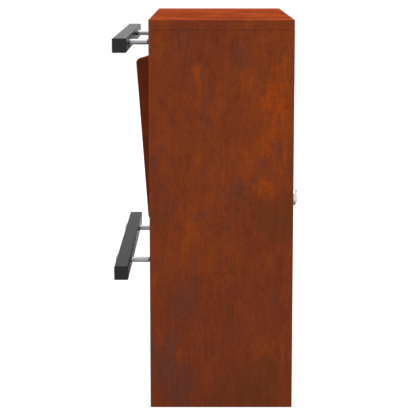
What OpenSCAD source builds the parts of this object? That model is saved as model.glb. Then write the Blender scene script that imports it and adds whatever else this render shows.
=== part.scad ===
// Fence-mounted mailbox of weathering steel: letters go in through a narrow throat on the
// street side, and come out through a locking door on the garden side.
// Millimetres. +X runs across the width, -Y faces the street, +Y the garden, +Z is up.
// The origin is the centre of the underside.

/* [Housing] */
// Width of the housing
body_w = 360; // [290:1:440]
// Depth of the housing, from its front face to the door's face
body_d = 151; // [120:1:185]
// Height of the housing with its roof
body_h = 412; // [340:1:500]
// Thickness of every folded sheet
sheet = 1.5; // [1.2:0.1:1.9]
// Outside radius of the upright corner bends
bend_r = 1.8; // [1.6:0.1:4]
// Width of the flanges by which the sheets are joined
flange_w = 12; // [10:0.5:15]
// Diameter of the drain holes in the floor
drain_d = 6; // [4:0.5:8]

/* [Roof] */
// Height of the roof's rim
rim_h = 10; // [8:0.5:16]
// Height and depth of the shadow groove under the rim
groove = 0.4; // [0.3:0.1:1.5]
// Diameter of the blind rivets
rivet_d = 4; // [3.2:0.2:4.8]
// Diameter of a rivet's head
rivet_head_d = 7.6; // [6.4:0.2:9]

/* [Door] */
// Gap between the door and the housing
door_gap = 1.5; // [1.3:0.1:2.2]
// Depth of the door's folded edges
door_fold = 9; // [8:0.5:10]
// Free depth between the door's folds and its frame, filled by the seal
seal_room = 4.5; // [4:0.1:6]
// Width of the foam seal
seal_w = 7.5; // [6:0.5:10]
// Width of the frame's lip, from the side wall
lip_w = 14.5; // [13:0.5:17]
// Distance of the hinge axis from the door's edge
hinge_in = 7; // [6.5:0.1:8]
// Distance of the hinge axis behind the door's face
hinge_back = 4; // [3.5:0.1:4.5]
// Diameter of the hinge pins
hinge_d = 4; // [3:0.1:5]
// Diameter of the hinge washer and of the upper pin's collar
hinge_collar_d = 9; // [7:0.5:10]

/* [Lock] */
// Distance of the lock's axis from the housing's side face
lock_in = 28; // [26:0.5:30]
// Height of the lock's axis
lock_z = 223.5; // [120:0.5:300]
// Diameter of the lock's flange
lock_flange_d = 17.6; // [17.2:0.2:24]
// Thickness of the lock's flange
lock_flange_t = 4.2; // [3:0.1:5]
// Diameter of the lock's barrel
barrel_d = 15.8; // [14:0.1:16.4]
// Diameter of the turning plug
plug_d = 10.6; // [9:0.1:11]
// Reach of the cam from the lock's axis
cam_reach = 22; // [20:0.5:23]
// Width of the cam
cam_w = 12; // [10:0.5:14]
// Thickness of the cam
cam_t = 2; // [1.5:0.1:3]
// Diameter of the keyhole cover
cover_d = 11.4; // [11:0.1:13]
// Thickness of the keyhole cover
cover_t = 0.6; // [0.5:0.1:1]

/* [Letter throat] */
// Outside width of the throat
throat_w = 36; // [30:1:44]
// Outside height of the throat where it leaves the front face
throat_h = 189.2; // [150:0.2:230]
// Distance of the throat's top edge below the top of the roof
throat_drop = 46.3; // [44:0.1:60]
// Reach of the throat in front of the front face
throat_reach = 20.3; // [16:0.1:25]
// Fall of the throat's hood, in degrees
hood_fall = 17; // [10:0.5:25]
// Lean of the mouth, in degrees
mouth_lean = 4.1; // [2:0.1:4.8]
// Radius of the bend at the hood's tip
tip_r = 2.4; // [2:0.1:5]
// Radius of the bend at the throat's toe
toe_r = 5; // [3:0.5:6]
// Width of the lips round the mouth
mouth_lip = 4; // [3:0.5:5]
// Thickness of the flap behind the mouth
flap_t = 1.2; // [1:0.1:1.5]
// Diameter of the flap's pin
flap_pin_d = 3; // [2.5:0.1:3.5]

/* [Fence clamp] */
// Outside width of the square clamp bars
bar_s = 15; // [12:0.5:20]
// Wall of the clamp bars
bar_wall = 1.5; // [1.2:0.1:2]
// Length of a clamp bar with its end caps
bar_l = 350; // [280:1:420]
// Gap between the bars and the front face, for the fence
fence_gap = 23; // [21:0.5:32]
// Distance of the upper bar's axis below the top of the roof
bar_drop = 26.5; // [26:0.5:30]
// Distance between the two bars' axes
bar_pitch = 240; // [220:1:290]
// Distance between the bolts of one bar
bolt_pitch = 200; // [120:1:240]
// Diameter of the bolts
bolt_d = 6; // [5:0.5:8]
// Length of a bolt under its head
bolt_l = 52; // [50:1:70]
// Diameter of a bolt's domed head
head_d = 12; // [10:0.5:14]
// Height of a bolt's domed head
head_h = 3; // [2:0.1:4]

/* [Fits] */
// Radial clearance of a pin that turns in its hole
turn_gap = 0.05; // [0.02:0.01:0.1]
// Radial clearance of a fastener in its hole
hole_gap = 0.2; // [0.1:0.05:0.4]
// Gap between a moving piece and what it rests against
rest_gap = 0.3; // [0.2:0.05:0.4]

/* [Hidden] */

rust = [0.44, 0.2, 0.11];
black = [0.09, 0.09, 0.1];
zinc = [0.72, 0.73, 0.75];
bright = [0.8, 0.8, 0.82];
rubber = [0.05, 0.05, 0.055];

eps = 0.5;                  // how far a cutting shape runs past the face it cuts
$fn = 64;

// Housing planes
front_y = -body_d / 2;
rear_y = body_d / 2;
inner_w = body_w - 2 * sheet;
wall_h = body_h - rim_h - groove;

// Roof rivets, in the middle of the flanges
rivet_inset = flange_w / 2 + sheet / 2;
rivet_grip = 2 * sheet;

// Door, its frame and its hinge
frame_y = rear_y - door_fold - seal_room - sheet;
door_w = inner_w - 2 * door_gap;
door_z = sheet + door_gap;
door_h = wall_h - sheet - door_gap - door_z;
door_x = -door_w / 2;
hinge_x = door_x + hinge_in;
hinge_y = rear_y - hinge_back;
hinge_r = norm([hinge_in, door_fold - hinge_back]);
hinge_grip = 6;             // how far a hinge pin stands into the door
collar_t = door_gap - 0.1;
relief_web = 0.3;           // what a corner relief of the door leaves of the sheet
weld_w = 15;                // width of the frame's welded flanges

// Lock
lock_x = body_w / 2 - lock_in;
cam_gap = 1.3;              // play between the cam and the back of the frame's lip
barrel_l = door_fold + seal_room + sheet + cam_gap;
plug_sink = 0.3;            // how far the plug's face lies below the flange's
nut_t = 3;
nut_s = barrel_d + 6;       // across flats
tail_s = 6.6;               // side of the plug's square tail
screw_d = 4;
key_slot = [1.8, 7.4, 12];
cover_pivot = 6.9;          // height of the cover's rivet above the lock's axis
cover_pin_d = 1.6;
cover_ear_d = 3.8;

// Letter throat: the outline in the YZ plane, before its corners are rounded
throat_top = body_h - throat_drop;
throat_foot = throat_top - throat_h;
tip = [front_y - throat_reach, throat_top - throat_reach * tan(hood_fall)];
toe = [tip[0] + (tip[1] - throat_foot) * tan(mouth_lean), throat_foot];
mouth_l = norm(tip - toe);
throat_flange = 10;
knuckle_r = flap_pin_d / 2 + turn_gap + 1.45;
flap_drop = 6.5;            // the flap's pin below the tip, along the mouth
flap_end = mouth_l - toe_r - sheet;
mouth_start = flap_drop + knuckle_r + 1.5;
mouth_end = flap_end - mouth_lip;
flap_w = throat_w - 2 * sheet - 2 * rest_gap;

// Fence clamp
bar_y = front_y - fence_gap - bar_s;
bar_zs = [body_h - bar_drop, body_h - bar_drop - bar_pitch];
bar_r = 1.2;                // corner radius of the square tube
cap_t = 2;
cap_plug_l = 10;
neck_l = 3;                 // square neck under a bolt's head
seal_washer_t = 2;
seal_washer_d = 2.5 * bolt_d;
washer_t = 1.6;
washer_d = 3 * bolt_d;
clamp_nut_t = 5;
clamp_nut_s = bolt_d + 4;   // across flats

function unit(v) = v / norm(v);

// Corners of a closed anticlockwise outline, moved inwards by t
function inset(pts, t) = [
    for (i = [0:len(pts) - 1])
        let (
            n = len(pts),
            u = unit(pts[i] - pts[(i + n - 1) % n]),
            v = unit(pts[(i + 1) % n] - pts[i]),
            side = [-u[1] - v[1], u[0] + v[0]]
        )
        pts[i] + t * side / (1 + u * v)
];

// Points of an arc of radius r that rounds the corner b between a and c
function fillet(a, b, c, r, steps = 8) =
    let (
        u = unit(a - b),
        v = unit(c - b),
        half = acos(u * v) / 2,
        centre = b + unit(u + v) * r / sin(half),
        from = b + u * r / tan(half) - centre,
        turn = (u[0] * v[1] - u[1] * v[0] > 0 ? -1 : 1) * (180 - 2 * half)
    )
    [
        for (k = [0:steps])
            let (q = turn * k / steps)
            centre + [from[0] * cos(q) - from[1] * sin(q), from[0] * sin(q) + from[1] * cos(q)]
    ];

// Outline of the throat in the YZ plane, shrunk by t; it runs back past the front face by back
function throat_outline(t, back) =
    let (p = inset([
        [front_y + back, throat_foot], [front_y + back, throat_top], [front_y, throat_top], tip, toe
    ], t))
    concat(
        [p[0], p[1], p[2]],
        fillet(p[2], p[3], p[4], max(tip_r - t, eps)),
        fillet(p[3], p[4], p[0], max(toe_r - t, eps))
    );

// Rectangle with rounded corners, centred
module rounded_rect(w, h, r) {
    square([w - 2 * r, h], center = true);
    square([w, h - 2 * r], center = true);
    for (x = [-1, 1], y = [-1, 1])
        translate([x * (w / 2 - r), y * (h / 2 - r)]) circle(r);
}

// Outer plan of the housing, shrunk by t on all sides
module plan(t = 0) {
    rounded_rect(body_w - 2 * t, body_d - 2 * t, max(bend_r - t, 0.2));
}

// Plan of the housing without its back: square to y = back
module open_plan(t, back) {
    intersection() {
        union() {
            plan(t);
            translate([-body_w / 2 + t, 0]) square([body_w - 2 * t, body_d]);
        }
        translate([-body_w, front_y - eps]) square([2 * body_w, back - front_y + eps]);
    }
}

// Part of a ball with a flat base of diameter d and a height h
module dome(d, h) {
    ball = (d * d / 4 + h * h) / (2 * h);
    intersection() {
        translate([0, 0, h - ball]) sphere(ball);
        cylinder(d = d, h = h);
    }
}

module ring(outer, inner, t) {
    difference() {
        cylinder(d = outer, h = t);
        translate([0, 0, -eps]) cylinder(d = inner, h = t + 2 * eps);
    }
}

// Hexagon with flats s apart and a bore of diameter d
module hex_nut(s, d, t) {
    difference() {
        cylinder(d = s / cos(30), h = t, $fn = 6);
        translate([0, 0, -eps]) cylinder(d = d, h = t + 2 * eps);
    }
}

// Puts a shape's +Z along +Y
module facing_rear() {
    rotate([-90, 0, 0]) children();
}

// Each bolt's axis, at the front face, with +Z to the rear
module at_bolts() {
    for (x = [-1, 1], z = bar_zs)
        translate([x * bolt_pitch / 2, front_y, z]) facing_rear() children();
}

// The lock's axis, at the door's outer face, with +Z out of the door and -Y up
module at_lock() {
    translate([lock_x, rear_y, lock_z]) facing_rear() children();
}

// The mouth's frame: +Y inwards from its outer face, -Z down along it from the tip
module at_mouth() {
    translate([0, tip[0], tip[1]]) rotate([mouth_lean, 0, 0]) children();
}

module at_roof_rivets() {
    for (x = [-body_w / 3, 0, body_w / 3])
        translate([x, front_y + rivet_inset, wall_h - sheet]) children();
    for (side = [-1, 1], y = [-body_d / 5, body_d / 5])
        translate([side * (body_w / 2 - rivet_inset), y, wall_h - sheet]) children();
}

// Front and both sides, folded from one sheet, with a flange under the roof
module body_shell() {
    color(rust) difference() {
        union() {
            linear_extrude(wall_h) difference() {
                open_plan(0, rear_y);
                open_plan(sheet, rear_y + eps);
            }
            translate([0, 0, wall_h - sheet]) linear_extrude(sheet) difference() {
                open_plan(0, frame_y);
                open_plan(flange_w, frame_y + eps);
            }
        }
        translate([-throat_w / 2, front_y - eps, throat_foot])
            cube([throat_w, sheet + 2 * eps, throat_h]);
        at_bolts() translate([0, 0, -eps]) cylinder(r = bolt_d / 2 + hole_gap, h = sheet + 2 * eps);
        at_roof_rivets() translate([0, 0, -eps])
            cylinder(r = rivet_d / 2 + hole_gap, h = sheet + 2 * eps);
    }
}

// Floor tray inside the wrap; its rear edge is the door's sill
module bottom_panel() {
    color(rust) difference() {
        union() {
            linear_extrude(sheet) open_plan(sheet, rear_y);
            linear_extrude(sheet + flange_w) difference() {
                open_plan(sheet, frame_y - weld_w - door_gap);
                open_plan(2 * sheet, frame_y);
            }
        }
        for (x = [-1, 1], y = [-1, 1])
            translate([x * body_w / 3, y * body_d / 4, -eps]) cylinder(d = drain_d, h = sheet + 2 * eps);
        translate([hinge_x, hinge_y, -eps]) cylinder(r = hinge_d / 2 + turn_gap, h = sheet + 2 * eps);
    }
}

// Folded lid: top, rim, a step that makes the shadow groove, and a flange under it
module roof_cap() {
    color(rust) difference() {
        union() {
            translate([0, 0, wall_h + groove]) linear_extrude(rim_h) plan();
            translate([0, 0, wall_h]) linear_extrude(groove + sheet) plan(groove);
        }
        translate([0, 0, wall_h + groove + sheet]) linear_extrude(rim_h - 2 * sheet) plan(sheet);
        translate([0, 0, wall_h + sheet]) linear_extrude(rim_h / 2) plan(groove + sheet);
        translate([0, 0, wall_h - eps]) linear_extrude(rim_h / 2) plan(flange_w);
        at_roof_rivets() translate([0, 0, sheet - eps])
            cylinder(r = rivet_d / 2 + hole_gap, h = sheet + 2 * eps);
    }
}

// Blind rivets, set from inside: a dome below the flanges and an upset end above
module roof_rivets() {
    color(zinc) at_roof_rivets() {
        mirror([0, 0, 1]) dome(rivet_head_d, 1.2);
        cylinder(d = rivet_d, h = rivet_grip);
        translate([0, 0, rivet_grip]) dome(rivet_d * 1.5, 1.8);
    }
}

// Plate with the door opening, with welded flanges and the lintel over the door
module door_frame() {
    opening_z = sheet + lip_w - 2;
    color(rust) difference() {
        union() {
            translate([-inner_w / 2, frame_y, sheet]) cube([inner_w, sheet, wall_h - sheet]);
            translate([-inner_w / 2, frame_y, wall_h - sheet])
                cube([inner_w, rear_y - frame_y, sheet]);
            for (side = [-1, 1])
                translate([side * (inner_w - sheet) / 2 - sheet / 2, frame_y - weld_w, 2 * flange_w])
                    cube([sheet, weld_w + eps, wall_h - 4 * flange_w]);
            translate([-inner_w / 2 + 2 * flange_w, frame_y - weld_w, sheet])
                cube([inner_w - 4 * flange_w, weld_w + eps, sheet]);
        }
        translate([-inner_w / 2 + lip_w, frame_y - eps, opening_z])
            cube([inner_w - 2 * lip_w, sheet + 2 * eps, wall_h - sheet - lip_w - opening_z]);
        translate([hinge_x, hinge_y, wall_h - sheet - eps])
            cylinder(r = hinge_d / 2 + turn_gap, h = sheet + 2 * eps);
    }
}

// Foam strip on the frame along the top, the lock side and the bottom of the door
module door_seal() {
    seal_t = seal_room - rest_gap;
    edge = 1;
    z_low = sheet + edge;
    z_high = wall_h - sheet - edge;
    x_high = inner_w / 2 - edge;
    x_low = hinge_x + hinge_r + 3;
    color(rubber) translate([0, frame_y + sheet, 0]) {
        translate([x_high - seal_w, 0, z_low]) cube([seal_w, seal_t, z_high - z_low]);
        for (z = [z_low, z_high - seal_w])
            translate([x_low, 0, z]) cube([x_high - x_low, seal_t, seal_w]);
    }
}

// Folded tray, open towards the inside, with relieved corners
module door_panel() {
    relief_r = sheet - relief_web;
    color(rust) difference() {
        translate([door_x, rear_y - door_fold, door_z]) cube([door_w, door_fold, door_h]);
        translate([door_x + sheet, rear_y - door_fold - eps, door_z + sheet])
            cube([door_w - 2 * sheet, door_fold - sheet + eps, door_h - 2 * sheet]);
        for (x = [door_x + sheet, -door_x - sheet], z = [door_z + sheet, door_z + door_h - sheet])
            translate([x, rear_y - door_fold - eps, z]) facing_rear()
                cylinder(r = relief_r, h = door_fold - sheet + eps, $fn = 32);
        translate([hinge_x, hinge_y, door_z - eps])
            cylinder(r = hinge_d / 2 + turn_gap, h = door_h + 2 * eps);
        at_lock() translate([0, 0, -sheet - eps])
            cylinder(r = barrel_d / 2 + hole_gap, h = sheet + 2 * eps);
    }
}

module hinge_pin_lower() {
    color(zinc) translate([hinge_x, hinge_y, 0])
        cylinder(d = hinge_d, h = door_z + sheet + hinge_grip);
}

module hinge_pin_upper() {
    color(zinc) translate([hinge_x, hinge_y, 0]) {
        translate([0, 0, door_z + door_h - sheet - hinge_grip])
            cylinder(d = hinge_d, h = wall_h - door_z - door_h + sheet + hinge_grip);
        translate([0, 0, wall_h - sheet - collar_t]) cylinder(d = hinge_collar_d, h = collar_t);
    }
}

module hinge_washer() {
    color(black) translate([hinge_x, hinge_y, sheet])
        ring(hinge_collar_d, hinge_d + 2 * turn_gap, collar_t);
}

module lock_body() {
    edge = 0.8;
    color(bright) at_lock() difference() {
        union() {
            translate([0, 0, -barrel_l]) cylinder(d = barrel_d, h = barrel_l);
            cylinder(d = lock_flange_d, h = lock_flange_t - edge);
            translate([0, 0, lock_flange_t - edge])
                cylinder(d1 = lock_flange_d, d2 = lock_flange_d - 2 * edge, h = edge);
        }
        translate([0, 0, -barrel_l - eps])
            cylinder(r = plug_d / 2 + turn_gap, h = barrel_l + lock_flange_t + 2 * eps);
        translate([0, -cover_pivot, lock_flange_t / 2]) cylinder(d = cover_pin_d, h = lock_flange_t);
    }
}

module lock_nut() {
    color(zinc) at_lock() translate([0, 0, -sheet - nut_t])
        hex_nut(nut_s, barrel_d + 2 * turn_gap, nut_t);
}

// Cylinder with a keyhole in its face, a square tail for the cam and a hole for its screw
module lock_plug() {
    face = lock_flange_t - plug_sink;
    color(bright) at_lock() difference() {
        union() {
            translate([0, 0, -barrel_l]) cylinder(d = plug_d, h = barrel_l + face);
            translate([0, 0, -barrel_l - cam_t / 2])
                cube([tail_s, tail_s, cam_t + 2 * eps], center = true);
        }
        translate([0, 0, face - key_slot[2] / 2 + eps / 2])
            cube([key_slot[0], key_slot[1], key_slot[2] + eps], center = true);
        translate([0, 0, -barrel_l - cam_t - 2 * eps]) cylinder(d = screw_d, h = cam_t + 6);
    }
}

// Flat arm that swings behind the frame's lip; it points up while unlocked
module lock_cam() {
    hub_d = 15;
    color(zinc) at_lock() translate([0, 0, -barrel_l - cam_t]) difference() {
        linear_extrude(cam_t) {
            circle(d = hub_d);
            translate([-cam_w / 2, -cam_reach + cam_w / 2]) square([cam_w, cam_reach - cam_w / 2]);
            translate([0, -cam_reach + cam_w / 2]) circle(d = cam_w);
        }
        translate([0, 0, cam_t / 2])
            cube([tail_s + 2 * turn_gap, tail_s + 2 * turn_gap, cam_t + 2 * eps], center = true);
    }
}

module cam_screw() {
    head = 2.4;
    color(zinc) at_lock() translate([0, 0, -barrel_l - cam_t - eps]) difference() {
        union() {
            cylinder(d = screw_d, h = cam_t + 4);
            mirror([0, 0, 1]) dome(8.4, head);
        }
        for (turn = [0, 90])
            rotate(turn) translate([0, 0, -head]) cube([4.4, 1, 2], center = true);
    }
}

// Teardrop cover that hangs over the keyhole from its rivet
module keyhole_cover() {
    color(bright) at_lock() translate([0, 0, lock_flange_t + turn_gap]) difference() {
        linear_extrude(cover_t) {
            circle(d = cover_d);
            translate([0, -cover_pivot]) circle(d = cover_ear_d);
            translate([-cover_ear_d / 2, -cover_pivot]) square([cover_ear_d, cover_pivot]);
        }
        translate([0, -cover_pivot, -eps]) cylinder(r = cover_pin_d / 2 + turn_gap, h = cover_t + 2 * eps);
    }
}

module cover_rivet() {
    color(bright) at_lock() translate([0, -cover_pivot, lock_flange_t / 2]) {
        cylinder(d = cover_pin_d, h = lock_flange_t / 2 + cover_t + 2 * turn_gap);
        translate([0, 0, lock_flange_t / 2 + cover_t + 2 * turn_gap]) dome(2.8, 0.4);
    }
}

// Duct folded and welded from sheet: hood, leaning front with the mouth, floor, two cheeks,
// and a flange behind the front wall
module letter_throat() {
    back = 2 * sheet;
    color(rust) difference() {
        union() {
            translate([-throat_w / 2, 0, 0]) rotate([90, 0, 90]) linear_extrude(throat_w)
                polygon(throat_outline(0, back));
            translate([-throat_w / 2 - throat_flange, front_y + sheet, throat_foot - throat_flange])
                cube([throat_w + 2 * throat_flange, sheet, throat_h + 2 * throat_flange]);
        }
        translate([-throat_w / 2 + sheet, 0, 0]) rotate([90, 0, 90])
            linear_extrude(throat_w - 2 * sheet) polygon(throat_outline(sheet, back + sheet + eps));
        at_mouth() translate([0, sheet + eps, -(mouth_start + mouth_end) / 2]) rotate([90, 0, 0])
            linear_extrude(sheet + 2 * eps)
                rounded_rect(throat_w - 2 * sheet - 2 * mouth_lip, mouth_end - mouth_start, 3);
        at_flap_pin(throat_w + 2 * eps) cylinder(d = flap_pin_d, h = throat_w + 2 * eps);
    }
}

// The flap pin's axis along +X, centred over a length l
module at_flap_pin(l) {
    at_mouth() translate([-l / 2, sheet + rest_gap + knuckle_r, -flap_drop]) rotate([0, 90, 0])
        children();
}

// Flap that hangs behind the mouth by a rolled knuckle and rests on the lips
module slot_flap() {
    plate_y = sheet + rest_gap;
    color(rust) difference() {
        union() {
            at_flap_pin(flap_w) cylinder(r = knuckle_r, h = flap_w);
            at_mouth() translate([-flap_w / 2, plate_y, -flap_end])
                cube([flap_w, flap_t, flap_end - flap_drop]);
        }
        at_flap_pin(flap_w + 2 * eps) cylinder(r = flap_pin_d / 2 + turn_gap, h = flap_w + 2 * eps);
    }
}

module flap_pin() {
    color(rust) at_flap_pin(throat_w) cylinder(d = flap_pin_d, h = throat_w);
}

// Square tube with a round hole towards the housing and a square one on the street side
module clamp_bar(z) {
    tube_l = bar_l - 2 * cap_t;
    color(black) difference() {
        translate([-tube_l / 2, bar_y + bar_s / 2, z]) rotate([90, 0, 90])
            linear_extrude(tube_l) difference() {
                rounded_rect(bar_s, bar_s, bar_r);
                square(bar_s - 2 * bar_wall, center = true);
            }
        for (x = [-1, 1]) translate([x * bolt_pitch / 2, bar_y, z]) {
            facing_rear() translate([0, 0, bar_wall]) cylinder(r = bolt_d / 2 + hole_gap, h = bar_s);
            cube([bolt_d + 2 * hole_gap, 2 * bar_wall + eps, bolt_d + 2 * hole_gap], center = true);
        }
    }
}

module clamp_bar_upper() {
    clamp_bar(bar_zs[0]);
}

module clamp_bar_lower() {
    clamp_bar(bar_zs[1]);
}

// Plastic caps that plug the bars' ends
module bar_end_caps() {
    plug_s = bar_s - 2 * bar_wall - 2 * turn_gap;
    color(black) for (z = bar_zs, side = [-1, 1])
        translate([side * (bar_l / 2 - cap_t), bar_y + bar_s / 2, z]) rotate([90, 0, 90 * side]) {
            linear_extrude(cap_t) rounded_rect(bar_s, bar_s, bar_r);
            translate([0, 0, -cap_plug_l / 2])
                cube([plug_s, plug_s, cap_plug_l], center = true);
        }
}

// Bolts with domed heads and square necks, from the street side into the housing
module clamp_bolts() {
    color(zinc) at_bolts() translate([0, 0, -fence_gap - bar_s]) {
        mirror([0, 0, 1]) dome(head_d, head_h);
        translate([-bolt_d / 2, -bolt_d / 2, 0]) cube([bolt_d, bolt_d, neck_l]);
        cylinder(d = bolt_d, h = bolt_l);
    }
}

// Rubber washers between the bolts and the outside of the front wall
module seal_washers() {
    color(rubber) at_bolts() translate([0, 0, -seal_washer_t])
        ring(seal_washer_d, bolt_d + 2 * hole_gap, seal_washer_t);
}

module clamp_washers() {
    color(zinc) at_bolts() translate([0, 0, sheet])
        ring(washer_d, bolt_d + 2 * hole_gap, washer_t);
}

module clamp_nuts() {
    color(zinc) at_bolts() translate([0, 0, sheet + washer_t])
        hex_nut(clamp_nut_s, bolt_d + 2 * turn_gap, clamp_nut_t);
}

body_shell();
bottom_panel();
roof_cap();
roof_rivets();
door_frame();
door_seal();
door_panel();
hinge_pin_lower();
hinge_pin_upper();
hinge_washer();
lock_body();
lock_nut();
lock_plug();
lock_cam();
cam_screw();
keyhole_cover();
cover_rivet();
letter_throat();
slot_flap();
flap_pin();
clamp_bar_upper();
clamp_bar_lower();
bar_end_caps();
clamp_bolts();
seal_washers();
clamp_washers();
clamp_nuts();
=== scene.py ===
# %% [markdown]
# # A fence mailbox of weathering steel
#
# This lesson dresses a mailbox that hangs on a fence. Its sheet-steel housing has a rust
# skin, two black bars clamp it to the fence, a narrow throat takes the letters on the street
# side, and a locked door gives them out on the garden side. The construction comes as a fixed
# frame: every piece has its real size and place, in metres. Our work is the surface.

import math

import bmesh
import bpy
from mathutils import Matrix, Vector


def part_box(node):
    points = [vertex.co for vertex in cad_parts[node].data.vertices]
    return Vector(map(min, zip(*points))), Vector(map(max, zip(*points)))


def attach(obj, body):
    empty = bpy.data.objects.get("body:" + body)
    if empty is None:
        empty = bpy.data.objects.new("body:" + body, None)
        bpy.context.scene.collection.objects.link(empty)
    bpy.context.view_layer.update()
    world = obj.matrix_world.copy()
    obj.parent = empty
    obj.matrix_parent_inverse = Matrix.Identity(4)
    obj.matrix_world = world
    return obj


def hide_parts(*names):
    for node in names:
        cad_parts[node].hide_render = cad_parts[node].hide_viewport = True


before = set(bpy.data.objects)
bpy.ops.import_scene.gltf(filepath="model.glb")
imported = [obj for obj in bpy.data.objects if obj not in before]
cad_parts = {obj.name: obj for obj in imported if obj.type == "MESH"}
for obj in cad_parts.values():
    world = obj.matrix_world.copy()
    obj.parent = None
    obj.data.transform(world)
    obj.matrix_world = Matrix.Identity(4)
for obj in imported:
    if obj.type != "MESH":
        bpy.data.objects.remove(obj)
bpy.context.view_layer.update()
mm = 0.001

# %% [markdown]
# ## The camera
#
# A long lens from far away keeps a box looking like a box. The camera looks at the side of
# the mailbox from a little above its roof, so the roof shows as a thin bright band and the
# clamp bars run away from us. It is tilted down instead of shifted: a shifted lens would keep
# the uprights parallel, but it would push the mailbox out of view once the camera is moved.

# %% Camera
body_low, body_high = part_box("body_shell")
roof_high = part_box("roof_cap")[1]
camera_distance = 1.578
camera_aside = -14 * mm
camera_above_roof = 64.4 * mm
camera_tilt = math.radians(9.36)

camera_data = bpy.data.cameras.new("camera")
camera_data.sensor_width = 36
camera_data.lens = 132
camera = bpy.data.objects.new("camera", camera_data)
camera.location = (body_high.x + camera_distance, camera_aside,
                   roof_high.z + camera_above_roof)
camera.rotation_euler = (math.radians(90) - camera_tilt, 0, math.radians(90))
bpy.context.scene.collection.objects.link(camera)
bpy.context.scene.camera = camera
print("camera at", tuple(round(v, 3) for v in camera.location))

# %% [markdown]
# ## Words for nodes
#
# Light and materials are graphs of small nodes. Written out in full such a graph is long and
# hard to read, so we first make two short words: `put` adds a node and wires it, and `calc`
# does one sum with two values.

# %% Node helpers
def put(tree, kind, inputs, **settings):
    """Adds a node; a value in inputs is either a socket to link or a constant."""
    node = tree.nodes.new(kind)
    for name, value in settings.items():
        setattr(node, name, value)
    for name, value in inputs.items():
        if isinstance(value, bpy.types.NodeSocket):
            tree.links.new(value, node.inputs[name])
        else:
            node.inputs[name].default_value = value
    return node


def calc(tree, operation, a, b):
    """One sum with two values, such as ADD or MULTIPLY."""
    return put(tree, "ShaderNodeMath", {0: a, 1: b}, operation=operation).outputs[0]


print("node helpers ready")

# %% [markdown]
# ## Light
#
# Weathering steel is dark and matt, so it needs a broad sky more than a hard lamp. The world
# gives the shade, in which a wall shows about two thirds of its own colour. One soft sun
# stands straight above, a touch to the far side: it brightens the roof and the bars, and
# leaves the side that we look at in even shade. A weak lamp on the street side keeps two
# walls that meet from having the same tone.
#
# A studio background has to be white without pouring more light on the object. The Light Path
# node tells a camera ray from the others: for what is seen directly or in a reflection, the
# world and the floor are white, and for what lights the object they are dimmer.

# %% World
scene = bpy.context.scene
scene.view_settings.view_transform = "Standard"


def seen_directly(tree):
    """1 for rays that show the background: camera, glossy and transmission rays."""
    path = tree.nodes.new("ShaderNodeLightPath").outputs
    seen = calc(tree, "MAXIMUM", path["Is Camera Ray"], path["Is Glossy Ray"])
    return calc(tree, "MAXIMUM", seen, path["Is Transmission Ray"])


white = (1, 1, 1, 1)
sky_level = 0.8
world = bpy.data.worlds.new("studio")
world.use_nodes = True
tree = world.node_tree
sky = tree.nodes["Background"]
sky.inputs["Color"].default_value = white
sky.inputs["Strength"].default_value = sky_level
backdrop = put(tree, "ShaderNodeBackground", {"Color": white, "Strength": 1})
choose = put(tree, "ShaderNodeMixShader", {
    0: seen_directly(tree), 1: sky.outputs[0], 2: backdrop.outputs[0]})
tree.links.new(choose.outputs[0], tree.nodes["World Output"].inputs["Surface"])
scene.world = world
print("world:", world.name, "- sky level:", sky_level)

# %% [markdown]
# ## The floor
#
# The mailbox stands on a pale floor. It gives little light back to the object, so that the
# lower half keeps its depth, and glows where it is seen, so that it reads as white.

# %% Floor
floor_size = 8
floor_grey = 0.27           # what the floor gives back to the object
floor_glow = 0.82           # added where it is seen
grid = bmesh.new()
bmesh.ops.create_grid(grid, x_segments=1, y_segments=1, size=floor_size / 2)
bmesh.ops.translate(grid, verts=grid.verts, vec=(0, 0, body_low.z))
floor_mesh = bpy.data.meshes.new("floor")
grid.to_mesh(floor_mesh)
grid.free()
floor = bpy.data.objects.new("floor", floor_mesh)
scene.collection.objects.link(floor)

floor_finish = bpy.data.materials.new("floor")
floor_finish.use_nodes = True
tree = floor_finish.node_tree
tree.nodes.clear()
matt = put(tree, "ShaderNodeBsdfDiffuse", {
    "Color": (floor_grey, floor_grey, floor_grey, 1)})
glow = put(tree, "ShaderNodeEmission", {
    "Strength": calc(tree, "MULTIPLY", seen_directly(tree), floor_glow)})
both = put(tree, "ShaderNodeAddShader", {0: matt.outputs[0], 1: glow.outputs[0]})
put(tree, "ShaderNodeOutputMaterial", {"Surface": both.outputs[0]})
floor_mesh.materials.append(floor_finish)
print("floor:", floor_size, "m wide")

# %% [markdown]
# ## The lamps
#
# A sun has no place, only a direction. A wide apparent size makes its shadows soft.

# %% Lamps
def add_sun(name, strength, angle, toward):
    """A sun that shines along the vector toward, with the apparent size angle in degrees."""
    data = bpy.data.lights.new(name, "SUN")
    data.energy = strength
    data.angle = math.radians(angle)
    lamp = bpy.data.objects.new(name, data)
    lamp.rotation_euler = Vector(toward).to_track_quat("-Z", "Y").to_euler()
    scene.collection.objects.link(lamp)


add_sun("top_sun", strength=2.0, angle=80, toward=(0.15, 0, -1))
add_sun("street_fill", strength=0.7, angle=40, toward=(-0.1, 0.8, -0.6))

# %% [markdown]
# ## Words for materials
#
# A few more words for the materials: `noise` gives clouds or grain, `ramp` picks a stretch of
# a value, `mix` lays one colour over another, `bump` raises a relief, and `facing_up` tells a
# roof from a wall. All patterns start from Object coordinates. Each piece has its place in its
# mesh, so one pattern runs on from sheet to sheet without a seam.

# %% Material helpers
def new_finish(name, **shader_values):
    """A material with one Principled shader; returns material, tree, shader and place."""
    material = bpy.data.materials.new(name)
    material.use_nodes = True
    tree = material.node_tree
    shader = tree.nodes["Principled BSDF"]
    for key, value in shader_values.items():
        shader.inputs[key.replace("_", " ")].default_value = value
    place = tree.nodes.new("ShaderNodeTexCoord").outputs["Object"]
    return material, tree, shader, place


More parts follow.
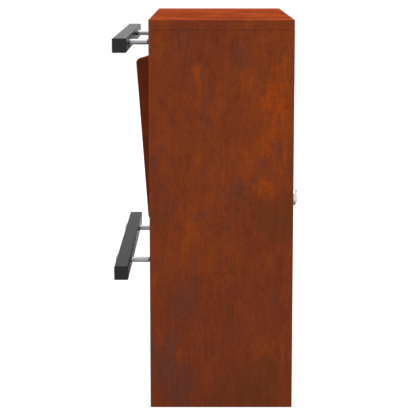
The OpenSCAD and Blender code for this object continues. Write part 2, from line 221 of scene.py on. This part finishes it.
def noise(tree, place, scale, stretch=(1, 1, 1), shift=(0, 0, 0), detail=3, rough=0.55):
    """Soft noise from 0 to 1; scale is its frequency per metre, stretch slows an axis."""
    moved = put(tree, "ShaderNodeMapping", {
        "Vector": place, "Scale": stretch, "Location": shift})
    return put(tree, "ShaderNodeTexNoise", {
        "Vector": moved.outputs[0], "Scale": scale, "Detail": detail,
        "Roughness": rough}).outputs[0]


def ramp(tree, value, low, high, to_low=0.0, to_high=1.0):
    """Maps value from low..high to to_low..to_high, with soft ends."""
    return put(tree, "ShaderNodeMapRange", {
        "Value": value, "From Min": low, "From Max": high,
        "To Min": to_low, "To Max": to_high}, interpolation_type="SMOOTHSTEP").outputs[0]


def mix(tree, factor, a, b, blend="MIX"):
    """Colour a under colour b; a colour is a socket or four numbers."""
    return put(tree, "ShaderNodeMix", {0: factor, 6: a, 7: b},
               data_type="RGBA", blend_type=blend).outputs[2]


def bump(tree, shader, height, depth, strength):
    """Gives the shader a relief of the height, which is depth metres from 0 to 1."""
    relief = put(tree, "ShaderNodeBump", {
        "Height": height, "Distance": depth, "Strength": strength})
    tree.links.new(relief.outputs["Normal"], shader.inputs["Normal"])


def facing_up(tree):
    """1 where the surface faces up, 0 on a wall and -1 where it faces down."""
    normal = tree.nodes["Texture Coordinate"].outputs["Normal"]
    return put(tree, "ShaderNodeSeparateXYZ", {0: normal}).outputs[2]


shade_level = 0.66          # how bright a wall in the shade stands against its own colour


def tone(red, green, blue):
    """The surface colour that shows as this 8-bit colour on a wall in the shade."""
    def level(value):
        value /= 255
        return ((value + 0.055) / 1.055) ** 2.4 if value > 0.04 else value / 12.92
    return tuple(level(v) / shade_level for v in (red, green, blue)) + (1,)


print("a mid brown wall:", tone(110, 50, 28))

# %% [markdown]
# ## The rust skin
#
# Weathering steel grows one tight, matt rust layer. It is not one colour: sun and warmth turn
# it orange-brown, damp turns it plum, and where water stands or runs it turns slate or umber.
# The border between two tones is never a clean line, it breaks up into specks.
#
# One could paint each spot as a soft blob over a base, but blobs look airbrushed. Here two
# weather maps are made instead, warmth and damp. Each is a noise with many octaves, and a
# patch only pushes the value of the map up or down around its centre. The colour is read from
# the map afterwards, so the noise draws every border.
#
# A rust skin has no gloss at all, so its specular level is zero: even a little would turn the
# roof pale, because we see it at a very flat angle.

# %% Rust tones and patches
plum = tone(103, 47, 29)
brown = tone(110, 50, 28)
warm_brown = tone(115, 53, 27)
copper = tone(123, 56, 24)
orange = tone(143, 61, 20)
slate = tone(94, 51, 38)
umber = tone(97, 49, 26)

# Patches on the lock-side wall: centre (y, z) and half sizes (y, z) in millimetres, strength
warm_patches = [
    ((58, 305), (24, 70), 0.085),
    ((20, 262), (62, 26), 0.05),
    ((66, 385), (14, 34), 0.06),
    ((-42, 190), (20, 42), 0.04),
    ((26, 148), (16, 20), 0.04),
    ((-66, 384), (9, 20), 0.08),
    ((-23, 352), (8, 15), 0.16),
    ((-27, 362), (5, 6), 0.12),
    ((24, 352), (13, 15), 0.13),
    ((48, 334), (9, 22), 0.1),
    ((48, 236), (14, 13), 0.17),
    ((60, 312), (8, 26), 0.08),
    ((42, 54), (9, 28), 0.04),
    ((-72, 236), (10, 74), -0.06),
    ((-52, 340), (24, 60), -0.04),
    ((50, 196), (40, 46), -0.07),
    ((10, 104), (80, 44), -0.07),
    ((36, 118), (46, 32), -0.06),
    ((0, 28), (90, 40), -0.1),
]
damp_patches = [
    ((-62, 62), (22, 36), 0.15),
    ((-50, 26), (30, 28), 0.13),
    ((-29, 128), (12, 40), 0.07),
    ((-27, 126), (3.5, 52), 0.17),
    ((-14, 345), (18, 46), 0.08),
    ((-40, 372), (18, 26), 0.06),
    ((-44, 318), (12, 30), 0.07),
    ((26, 228), (14, 34), 0.1),
    ((-26, 208), (14, 16), 0.06),
    ((2, 90), (16, 24), 0.05),
    ((68, 92), (8, 20), 0.07),
]
umber_patches = [
    ((56, 205), (34, 28), 0.2),
    ((36, 24), (56, 38), 0.2),
    ((-22, 146), (18, 20), 0.12),
    ((-72, 196), (10, 22), 0.1),
]
print(len(warm_patches) + len(damp_patches) + len(umber_patches), "patches")

# %% [markdown]
# ## Pushing a map
#
# A patch is the same few nodes each time, so they go into a node group that every patch
# shares. Where no patch is placed, a very wide noise pushes the maps instead, so that the
# other walls have areas of their own.

# %% Patches and drift
def make_patch_group():
    """A soft ellipsoid with a push inside it: takes a value and gives it pushed."""
    group = bpy.data.node_groups.new("patch", "ShaderNodeTree")
    for name, kind in (("Value", "NodeSocketFloat"), ("Place", "NodeSocketVector"),
                       ("Centre", "NodeSocketVector"), ("Size", "NodeSocketVector"),
                       ("Push", "NodeSocketFloat")):
        group.interface.new_socket(name, in_out="INPUT", socket_type=kind)
    group.interface.new_socket("Value", in_out="OUTPUT", socket_type="NodeSocketFloat")
    given = group.nodes.new("NodeGroupInput").outputs
    away = put(group, "ShaderNodeVectorMath", {0: given["Place"], 1: given["Centre"]},
               operation="SUBTRACT").outputs[0]
    share = put(group, "ShaderNodeVectorMath", {0: away, 1: given["Size"]},
                operation="DIVIDE").outputs[0]
    far = put(group, "ShaderNodeVectorMath", {0: share}, operation="LENGTH").outputs["Value"]
    push = calc(group, "MULTIPLY", ramp(group, far, 0.35, 1.35, 1.0, 0.0), given["Push"])
    result = group.nodes.new("NodeGroupOutput")
    group.links.new(calc(group, "ADD", given["Value"], push), result.inputs["Value"])
    return group


patch_group = make_patch_group()
patch_depth = 60 * mm       # how far a patch reaches in from the wall
drift_push = 0.13           # how far the drift moves a map, either way


def push_patches(tree, place, value, patches):
    """Pushes a map by each patch on the lock-side wall."""
    for (y, z), (half_y, half_z), strength in patches:
        patch = put(tree, "ShaderNodeGroup", {}, node_tree=patch_group)
        tree.links.new(value, patch.inputs["Value"])
        tree.links.new(place, patch.inputs["Place"])
        patch.inputs["Centre"].default_value = (body_high.x, y * mm, z * mm)
        patch.inputs["Size"].default_value = (patch_depth, half_y * mm, half_z * mm)
        patch.inputs["Push"].default_value = strength
        value = patch.outputs["Value"]
    return value


def drift(tree, place, value, where, shift):
    """Pushes a map up and down in areas about a hand wide, as far as where allows."""
    areas = noise(tree, place, scale=13, stretch=(1, 1, 0.55), shift=shift)
    push = calc(tree, "MULTIPLY",
                ramp(tree, areas, 0.3, 0.7, -drift_push, drift_push), where)
    return calc(tree, "ADD", value, push)


print("node group:", patch_group.name)

# %% [markdown]
# ## Where a point is
#
# Three things depend on the place. Small eddies move it a little before a map is read, which
# tears the borders. The X coordinate tells the walls apart, and the normal gives the sky side,
# the faces that look up. From the last two comes a mask of where the maps may drift: not on
# the wall that has the patches, and not on the sky side.

# %% Places and masks
def torn_place(tree, place):
    """The place moved a little by small eddies, so that borders are torn, not smooth."""
    eddy = put(tree, "ShaderNodeTexNoise", {"Vector": place, "Scale": 220, "Detail": 4})
    reach = (4 * mm, 4 * mm, 7 * mm)
    return put(tree, "ShaderNodeVectorMath", {
        0: eddy.outputs["Color"], 1: reach, 2: place}, operation="MULTIPLY_ADD").outputs[0]


def whereabouts(tree, place):
    """X, 1 on the sky side, and 1 off the lock-side wall and off the sky side."""
    along = put(tree, "ShaderNodeSeparateXYZ", {0: place}).outputs[0]
    sky_side = ramp(tree, facing_up(tree), 0.6, 0.9)
    off_wall = ramp(tree, along, body_high.x / 2, body_high.x, 1.0, 0.0)
    elsewhere = calc(tree, "MULTIPLY", off_wall, calc(tree, "SUBTRACT", 1, sky_side))
    return along, sky_side, elsewhere


print("patches lie on the wall at X =", round(body_high.x, 3))

# %% [markdown]
# ## Reading the maps
#
# The warmth map is read through a colour ramp, a row of tones from plum to orange. Short
# streaks, mottle and grain lighten and darken all of it. The sky side takes more sun and rain
# and turns a purer orange, so its colour is multiplied by a tone of its own. Towards the far
# edge that tone is lighter, which is painted light.

# %% Tones and light
def warm_tones(tree, warmth):
    """The row of tones from plum to orange, read at the warmth."""
    tones = tree.nodes.new("ShaderNodeValToRGB")
    tree.links.new(warmth, tones.inputs[0])
    stops = tones.color_ramp.elements
    stops[0].position, stops[0].color = 0.36, plum
    stops[1].position, stops[1].color = 0.74, orange
    for position, tint in ((0.46, brown), (0.53, warm_brown), (0.62, copper)):
        stops.new(position).color = tint
    return tones.outputs[0]


def short_detail(tree, place, torn, level):
    """A grey that the colour is multiplied by, around level, and the height of its relief."""
    streaks = noise(tree, place, scale=330, stretch=(1, 1, 0.1), detail=3, rough=0.6)
    mottle = noise(tree, torn, scale=330, stretch=(1, 1, 0.7), shift=(5, 5, 5), detail=4,
                   rough=0.75)
    grain = noise(tree, place, scale=1500, detail=2, rough=0.6)
    light = calc(tree, "MULTIPLY", ramp(tree, streaks, 0.25, 0.75, 0.93 * level, 1.07 * level),
                 ramp(tree, grain, 0.25, 0.75, 0.84, 1.16))
    light = calc(tree, "MULTIPLY", light, ramp(tree, mottle, 0.25, 0.75, 0.9, 1.1))
    grey = put(tree, "ShaderNodeCombineColor", {0: light, 1: light, 2: light}).outputs[0]
    return grey, calc(tree, "ADD", calc(tree, "MULTIPLY", grain, 0.5), mottle)


def sky_tone(tree, place, along):
    """What the sky side multiplies its colour by; lighter along the far edge as painted light.
    """
    clouds = noise(tree, place, scale=16, stretch=(1, 1.4, 1), shift=(9, 2, 4), detail=6,
                   rough=0.7)
    # Painted light: the roof's tone is lightened towards its far edge.
    painted_far_light = ramp(tree, along, body_low.x, body_low.x / 3, 0.16, 0.0)
    return mix(tree, ramp(tree, calc(tree, "ADD", clouds, painted_far_light), 0.4, 0.6),
               (0.82, 0.68, 0.63, 1), (1.2, 0.95, 0.78, 1))


print("tones from plum", plum, "to orange", orange)

# %% [markdown]
# ## The rust material
#
# Now the words come together. Slate covers the colour where the damp map passes a threshold,
# and umber where a third map does. The throat is a narrow piece in the shade of the wall, so
# its rust colour is painted a little darker, as painted shade, and it takes no patches.

# %% The rust material
def rust_finish(name, level=1.0, with_patches=True):
    """The rust skin; level scales how bright it is, and a level below 1 paints shade on it."""
    material, tree, shader, place = new_finish(
        name, Roughness=0.92, Specular_IOR_Level=0.0)
    torn = torn_place(tree, place)
    along, sky_side, elsewhere = whereabouts(tree, place)

    def weathered(value, patches, shift):
        """The map, pushed where patches are placed and drifting elsewhere."""
        if not with_patches:
            return value
        value = push_patches(tree, place, value, patches)
        return drift(tree, torn, value, elsewhere, shift)

    wide = noise(tree, torn, scale=19, stretch=(1, 1, 0.6), detail=4, rough=0.6)
    specks = noise(tree, torn, scale=85, stretch=(1, 1, 0.6), shift=(3, 1, 2), detail=7,
                   rough=0.75)
    warmth = calc(tree, "ADD", calc(tree, "MULTIPLY", wide, 0.35),
                  calc(tree, "MULTIPLY", specks, 0.65))
    colour = warm_tones(tree, weathered(warmth, warm_patches, shift=(2, 6, 4)))

    damp = noise(tree, torn, scale=46, stretch=(1, 1, 0.5), shift=(7, 4, 9), detail=8,
                 rough=0.72)
    damp = weathered(damp, damp_patches, shift=(8, 1, 3))
    colour = mix(tree, ramp(tree, damp, 0.52, 0.72, 0, 0.95), colour, slate)
    stain = noise(tree, torn, scale=28, stretch=(1, 1, 0.6), shift=(1, 8, 5), detail=7,
                  rough=0.7)
    stain = weathered(stain, umber_patches, shift=(4, 9, 1))
    colour = mix(tree, ramp(tree, stain, 0.55, 0.7, 0, 0.8), colour, umber)

    grey, relief = short_detail(tree, place, torn, level)
    colour = mix(tree, 1.0, colour, grey, blend="MULTIPLY")
    # Sky-side weathering, with the painted light along the far edge.
    sky_weather_and_painted_light = mix(tree, 1.0, colour, sky_tone(tree, place, along), blend="MULTIPLY")
    colour = mix(tree, sky_side, colour, sky_weather_and_painted_light)
    tree.links.new(colour, shader.inputs["Base Color"])
    bump(tree, shader, relief, depth=0.25 * mm, strength=0.5)
    return material


rust = rust_finish("rust_skin")
# Painted shade: the throat, the flap and the flap pin get a darker copy of the rust.
shaded_throat_rust = rust_finish("rust_throat_painted_shade", level=0.87, with_patches=False)
print("rust nodes:", len(rust.node_tree.nodes))

# %% [markdown]
# ## Black coat, plastic, rubber and bright metal
#
# The clamp bars are powder coated: a dark paint with a fine pebbled relief. Its gloss is faint
# when seen face on, but flat along the bar's top it catches the white studio and looks grey.
# The specular level is one number on the shader's own socket, since other programs drop one
# that a node feeds. The pebbles vary the roughness instead.
#
# The end caps are moulded and smoother. Zinc plate is a metal with faint crystal clouds; its
# threads have a darker finish. The lock is satin chrome. Zinc and chrome get painted shade on
# their undersides.

# %% Small finishes
def coat_finish():
    """Powder coat: dark, pebbled, with a little dust."""
    material, tree, shader, place = new_finish(
        "black_coat", Specular_IOR_Level=0.0085)
    pebbles = noise(tree, place, scale=700, detail=3, rough=0.6)
    dust = noise(tree, place, scale=90, detail=5, rough=0.65)
    colour = mix(tree, ramp(tree, pebbles, 0.35, 0.7), (0.018, 0.0185, 0.0195, 1),
                 (0.034, 0.034, 0.035, 1))
    colour = mix(tree, ramp(tree, dust, 0.5, 0.75, 0, 0.35), colour, (0.05, 0.047, 0.045, 1))
    tree.links.new(colour, shader.inputs["Base Color"])
    tree.links.new(ramp(tree, pebbles, 0.35, 0.65, 0.2, 0.32), shader.inputs["Roughness"])
    bump(tree, shader, pebbles, depth=0.15 * mm, strength=0.6)
    return material


def plastic_finish(name, low, high, roughness, level):
    """Plastic or rubber with fine grain and scuffs; level is its specular level."""
    material, tree, shader, place = new_finish(
        name, Roughness=roughness, Specular_IOR_Level=level)
    grain = noise(tree, place, scale=2200, detail=2)
    scuffs = noise(tree, place, scale=300, stretch=(1, 0.3, 1), detail=5, rough=0.7)
    colour = mix(tree, ramp(tree, scuffs, 0.45, 0.75), low, high)
    tree.links.new(colour, shader.inputs["Base Color"])
    bump(tree, shader, grain, depth=0.05 * mm, strength=0.5)
    return material


def metal_finish(name, dark, light, roughness, cloud_scale, brushed=(1, 1, 1), painted_underside_shade=0.0):
    """A bare or plated metal; the last argument darkens its undersides as painted shade."""
    material, tree, shader, place = new_finish(name, Metallic=1.0)
    clouds = noise(tree, place, scale=cloud_scale, stretch=brushed, detail=5, rough=0.65)
    colour = mix(tree, ramp(tree, clouds, 0.35, 0.65), dark, light)
    if painted_underside_shade:
        # Painted shade: faces that look down are darkened towards near-black.
        painted_shade_below = ramp(tree, facing_up(tree), -0.75, 0.1, painted_underside_shade, 0.0)
        colour = mix(tree, painted_shade_below, colour, (0.05, 0.045, 0.04, 1))
    tree.links.new(colour, shader.inputs["Base Color"])
    tree.links.new(ramp(tree, clouds, 0.3, 0.7, roughness * 0.8, roughness * 1.25),
                   shader.inputs["Roughness"])
    bump(tree, shader, clouds, depth=0.02 * mm, strength=0.4)
    return material


black_coat = coat_finish()
black_plastic = plastic_finish("black_plastic", (0.012, 0.012, 0.013, 1),
                               (0.02, 0.02, 0.021, 1), roughness=0.5, level=0.25)
black_rubber = plastic_finish("black_rubber", (0.016, 0.016, 0.016, 1),
                              (0.03, 0.029, 0.028, 1), roughness=0.8, level=0.3)
# For zinc and chrome the last number is painted shade on the undersides.
zinc = metal_finish("zinc_plate", (0.38, 0.4, 0.43, 1), (0.48, 0.5, 0.53, 1), 0.34, 420,
                    painted_underside_shade=0.8)
thread = metal_finish("zinc_thread", (0.14, 0.13, 0.12, 1), (0.26, 0.25, 0.24, 1), 0.5, 600)
chrome = metal_finish("satin_chrome", (0.58, 0.59, 0.61, 1), (0.7, 0.71, 0.73, 1), 0.22, 350,
                      painted_underside_shade=0.85)
steel = metal_finish("pin_steel", (0.2, 0.19, 0.18, 1), (0.34, 0.33, 0.32, 1), 0.45, 500,
                     brushed=(1, 1, 0.2))
print("finishes:", [m.name for m in bpy.data.materials])

# %% [markdown]
# ## Soft edges
#
# No sheet that was cut, folded and rusted has a perfectly sharp edge, and a sharp edge
# catches no light. The frame's meshes must stay as they are, so each visible piece gets a
# softened copy: the loose triangles are merged, flat ones are dissolved to whole faces, and
# every edge that turns by more than a set angle is bevelled. The Weighted Normal modifier
# keeps the wide faces flat in the shading, so only the narrow bevels look round.

# %% Piece helpers
made = {}
weld_distance = 0.002 * mm
flat_angle = math.radians(0.5)      # faces that turn less are one flat face
sharp_angle = math.radians(50)      # edges that turn more get a bevel


def finish_piece(bm, name, body, material, stands_for=(), smooth=40):
    """Turns a bmesh, already in place, into a piece that rides on a body.

    Edges that turn by more than smooth degrees stay crisp in the shading.
    """
    mesh = bpy.data.meshes.new(name)
    bm.to_mesh(mesh)
    bm.free()
    for face in mesh.polygons:
        face.use_smooth = True
    mesh.set_sharp_from_angle(angle=math.radians(smooth))
    mesh.materials.append(material)
    piece = bpy.data.objects.new(name, mesh)
    scene.collection.objects.link(piece)
    normals = piece.modifiers.new("flat_faces", "WEIGHTED_NORMAL")
    normals.keep_sharp = True
    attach(piece, body)
    if stands_for:
        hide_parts(*stands_for)
    made[name] = len(mesh.polygons)


def merged_copy(node):
    """A bmesh of a frame piece with its triangles joined into flat faces."""
    bm = bmesh.new()
    bm.from_mesh(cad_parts[node].data)
    bmesh.ops.remove_doubles(bm, verts=bm.verts, dist=weld_distance)
    bmesh.ops.dissolve_limit(bm, angle_limit=flat_angle, verts=bm.verts, edges=bm.edges)
    return bm


def bevel_sharp(bm, width):
    """Bevels every edge that turns by more than sharp_angle."""
    sharp = [e for e in bm.edges if len(e.link_faces) == 2
             and e.calc_face_angle(0) > sharp_angle]
    bmesh.ops.bevel(bm, geom=sharp, offset=width, offset_type="OFFSET", segments=2,
                    profile=0.5, affect="EDGES", clamp_overlap=True, material=-1)


def soften(node, body, material, width):
    """Replaces a frame piece by a copy with bevels of width millimetres."""
    bm = merged_copy(node)
    bevel_sharp(bm, width * mm)
    finish_piece(bm, node + "_soft", body, material, stands_for=[node])


print("edges that turn by more than", round(math.degrees(sharp_angle)), "degrees get a bevel")

# %% [markdown]
# ## The folded sheets
#
# The housing is a wrap (front and both sides), a floor tray, a lid, a door frame, a door and
# the letter throat. All are 1.5 mm sheet, so a bevel of a third of a millimetre is right for
# a cut edge. The lid and the door were folded on a tight bar and read crisp, so their bevel is
# only a little wider. The flap in the throat is thinner, and its bevel narrower.

# %% Sheet pieces
sheets = [                  # piece, the body it rides on, bevel in millimetres
    ("body_shell", "housing", 0.3),
    ("bottom_panel", "housing", 0.3),
    ("roof_cap", "housing", 0.45),
    ("door_frame", "housing", 0.3),
    ("letter_throat", "housing", 0.3),
    ("door_panel", "door", 0.45),
    ("slot_flap", "flap", 0.25),
]
for node, body, width in sheets:
    skin = shaded_throat_rust if node in ("letter_throat", "slot_flap") else rust
    soften(node, body, skin, width)
soften("flap_pin", "housing", shaded_throat_rust, 0.1)
print(made)

# %% [markdown]
# ## Bars, caps and seals
#
# The bars are square tube, the caps moulded plastic with a softer edge. The foam seal and
# the rubber washers only get their finish and a soft edge: their shape in the frame is the
# real one.

# %% Bars, caps and seals
for node in ("clamp_bar_upper", "clamp_bar_lower"):
    soften(node, "housing", black_coat, 0.25)
soften("bar_end_caps", "housing", black_plastic, 0.5)
soften("hinge_washer", "housing", black_plastic, 0.2)
soften("door_seal", "housing", black_rubber, 0.8)
soften("seal_washers", "housing", black_rubber, 0.4)
print("faces so far:", sum(made.values()))

# %% [markdown]
# ## Pins, rivets, washers and nuts
#
# Turned and stamped steel has tiny rounded edges, and each gives a thin line of light. The
# nuts are forged, so theirs are the widest.

# %% Small steel
for node, material, slot, width in (
        ("roof_rivets", steel, "steel_pins", 0.15),
        ("hinge_pin_lower", steel, "steel_pins", 0.3),
        ("hinge_pin_upper", steel, "steel_pins", 0.3),
        ("clamp_washers", zinc, "zinc_steel", 0.2),
        ("clamp_nuts", zinc, "zinc_steel", 0.4)):
    soften(node, "housing", material, width)
print("faces so far:", sum(made.values()))

# %% [markdown]
# ## Clamp bolts
#
# The four bolts are what a buyer sees of the fixing, so they are modelled whole: a domed head
# on a square neck, a plain shank, and a thread. The head and the shank are one outline that
# is spun round the bolt's axis. Where the outline starts and ends on the axis, the skin
# closes itself once the doubled points are merged. A spin numbers its points in no fixed
# order, so the skin is written out again in a sorted one: then each run gives the same mesh.

# %% Spun outlines
def in_order(bm):
    """The same skin with its points and faces in a fixed order."""
    points = sorted(bm.verts, key=lambda v: tuple(v.co))
    number = {v: k for k, v in enumerate(points)}
    corners = []
    for face in bm.faces:
        ring = [number[v] for v in face.verts]
        first = ring.index(min(ring))
        corners.append(ring[first:] + ring[:first])
    ordered = bmesh.new()
    verts = [ordered.verts.new(v.co) for v in points]
    for ring in sorted(corners):
        ordered.faces.new([verts[k] for k in ring])
    bm.free()
    return ordered


def spin_outline(outline, steps):
    """Spins points (radius, distance) round the Y axis into a closed skin."""
    bm = bmesh.new()
    points = [bm.verts.new((r, y, 0)) for r, y in outline]
    edges = [bm.edges.new(pair) for pair in zip(points, points[1:])]
    bmesh.ops.spin(bm, geom=points + edges, cent=(0, 0, 0), axis=(0, 1, 0),
                   angle=2 * math.pi, steps=steps, use_merge=True)
    bmesh.ops.remove_doubles(bm, verts=bm.verts, dist=0.001 * mm)
    bmesh.ops.recalc_face_normals(bm, faces=bm.faces)
    return in_order(bm)


def arc(radius, centre, start, end, steps):
    """Points (radius, distance) of an arc round centre, from start to end degrees."""
    return [(centre[0] + radius * math.cos(math.radians(start + (end - start) * k / steps)),
             centre[1] + radius * math.sin(math.radians(start + (end - start) * k / steps)))
            for k in range(steps + 1)]


print("a quarter circle:", arc(1, (0, 0), 0, 90, 2))

# %% [markdown]
# ## Threads
#
# The thread is a spun rod with many rings, whose points are then pushed in and out along a
# helix. That keeps one closed skin, which a swept thread would not have. A hole through the
# rod makes it a threaded barrel, which the lock needs later.

# %% Threaded rod
rings_per_turn = 6


def threaded_rod(radius, start, end, pitch, depth, hole=0.0, steps=32):
    """A rod along Y with a thread that runs out at start and is chamfered at end."""
    length = abs(end - start)
    way = 1 if end > start else -1
    count = round(length / pitch * rings_per_turn)
    taper = 1.2 * pitch
    outline = [(hole, start)]
    outline += [(radius, start + way * length * k / count) for k in range(count + 1)]
    outline += [(hole, end)]
    if hole:
        outline.append(outline[0])
    bm = spin_outline(outline, steps)
    for v in bm.verts:
        out = math.hypot(v.co.x, v.co.z)
        if out < (radius + hole) / 2:
            continue
        run = abs(v.co.y - start)
        turn = math.atan2(v.co.z, v.co.x) / (2 * math.pi)
        groove = depth * abs(2 * ((run / pitch + turn) % 1) - 1) * min(1, run / taper)
        chamfer = depth * max(0, taper - (length - run)) / taper
        wanted = radius - max(groove, chamfer)
        v.co.x *= wanted / out
        v.co.z *= wanted / out
    return bm


print("rings in one turn of a thread:", rings_per_turn)

# %% [markdown]
# ## Four of a kind
#
# All four bolts belong to one piece, so one bmesh takes a copy of the bolt at each place.

# %% Copies at places
def repeat(make, places):
    """One bmesh with a copy of make() at each place."""
    source = make()
    mesh = bpy.data.meshes.new("once")
    source.to_mesh(mesh)
    source.free()
    bm = bmesh.new()
    for place in places:
        before = len(bm.verts)
        bm.from_mesh(mesh)
        bm.verts.ensure_lookup_table()
        bmesh.ops.translate(bm, verts=bm.verts[before:], vec=place)
    bpy.data.meshes.remove(mesh)
    return bm


bolt_low, bolt_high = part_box("clamp_bolts")
bar_low, bar_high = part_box("clamp_bar_upper")
head_r = 6 * mm
bolt_places = [(side * (bolt_high.x - head_r), 0, (low.z + high.z) / 2)
               for side in (-1, 1)
               for low, high in ((bar_low, bar_high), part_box("clamp_bar_lower"))]
print("bolts at:", [tuple(round(v, 3) for v in place) for place in bolt_places])

# %% [markdown]
# ## One bolt
#
# The head is a flat dome: a large ball cut off where it meets the rim. Under it a square neck
# keeps the bolt from turning in the bar. The thread starts a little in front of the wall.

# %% Bolts
bolt_r = 3 * mm
head_h = bar_low.y - bolt_low.y
head_rim = 0.3 * mm
neck_l = 3 * mm
bare_thread = 4.4 * mm      # how much thread shows in front of the wall
thread_start = body_low.y - bare_thread


def bolt_shank():
    """Head, square neck and the plain rod up to where the thread starts."""
    dome = head_h - head_rim
    ball = (head_r ** 2 + dome ** 2) / (2 * dome)
    reach = math.degrees(math.asin(head_r / ball))
    outline = arc(ball, (0, bolt_low.y + ball), -90, -90 + reach, steps=8)
    outline += [(head_r, bar_low.y), (bolt_r, bar_low.y), (bolt_r, thread_start),
                (0, thread_start)]
    bm = spin_outline(outline, steps=40)
    neck = bmesh.ops.create_cube(bm, size=1)["verts"]
    bmesh.ops.scale(bm, verts=neck, vec=(2 * bolt_r, neck_l, 2 * bolt_r))
    bmesh.ops.translate(bm, verts=neck, vec=(0, bar_low.y + neck_l / 2, 0))
    return bm


def bolt_thread():
    """The threaded end, from the gap to its tip inside the housing."""
    return threaded_rod(bolt_r, thread_start, bolt_high.y, pitch=1 * mm, depth=0.55 * mm)


finish_piece(repeat(bolt_shank, bolt_places), "bolt_shanks", "housing", zinc,
             stands_for=["clamp_bolts"])
finish_piece(repeat(bolt_thread, bolt_places), "bolt_threads", "housing",
             thread, smooth=60)
print("bolt faces:", made["bolt_shanks"], made["bolt_threads"])

# %% [markdown]
# ## Lock
#
# A cam lock is turned from one bar: a wide flange with a rounded rim outside the door, a
# threaded barrel behind it, and a plug that turns the cam. Its outline is spun like the
# bolts', and the barrel is a second rod with a finer thread. A swinging cover keeps rain out
# of the keyhole. The small flat pieces keep the frame's shape and get soft edges.

# %% Lock pieces
lock_low, lock_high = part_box("lock_body")
plug_low, plug_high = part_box("lock_plug")
door_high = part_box("door_panel")[1]
lock_x = (lock_low.x + lock_high.x) / 2
lock_z = (lock_low.z + lock_high.z) / 2
flange_r = (lock_high.x - lock_low.x) / 2
plug_play = 0.05 * mm
bore_r = (plug_high.x - plug_low.x) / 2 + plug_play
barrel_r = 7.9 * mm
rim_r = 2.1 * mm
bore_edge = 0.3 * mm        # bevel round the keyhole's bore
seat = door_high.y - 0.4 * mm       # where the flange ends and the barrel starts


def lock_flange():
    """The visible ring: flat at the door, with a wide round rim and a bevelled bore."""
    front = lock_high.y
    outline = [(bore_r, seat), (barrel_r, seat),
               (barrel_r, door_high.y), (flange_r, door_high.y)]
    outline += arc(rim_r, (flange_r - rim_r, front - rim_r), 0, 90, steps=8)
    outline += [(bore_r + bore_edge, front), (bore_r, front - bore_edge)]
    outline.append(outline[0])
    bm = spin_outline(outline, steps=64)
    bmesh.ops.translate(bm, verts=bm.verts, vec=(lock_x, 0, lock_z))
    return bm


def lock_barrel():
    """The threaded tube behind the flange, which the nut holds."""
    bm = threaded_rod(barrel_r, seat, lock_low.y, pitch=0.9 * mm, depth=0.45 * mm,
                      hole=bore_r, steps=48)
    bmesh.ops.translate(bm, verts=bm.verts, vec=(lock_x, 0, lock_z))
    return bm


finish_piece(lock_flange(), "lock_flange", "door", chrome,
             stands_for=["lock_body"])
finish_piece(lock_barrel(), "lock_barrel", "door", chrome, smooth=60)
for node, body, material, slot, width in (
        ("lock_plug", "lock_core", chrome, "bright_lock", 0.15),
        ("keyhole_cover", "dust_cover", chrome, "bright_lock", 0.18),
        ("cover_rivet", "door", chrome, "bright_lock", 0.08),
        ("lock_nut", "door", zinc, "zinc_steel", 0.3),
        ("lock_cam", "lock_core", zinc, "zinc_steel", 0.3),
        ("cam_screw", "lock_core", zinc, "zinc_steel", 0.12)):
    soften(node, body, material, width)
print("lock faces:", made["lock_flange"], made["lock_barrel"])
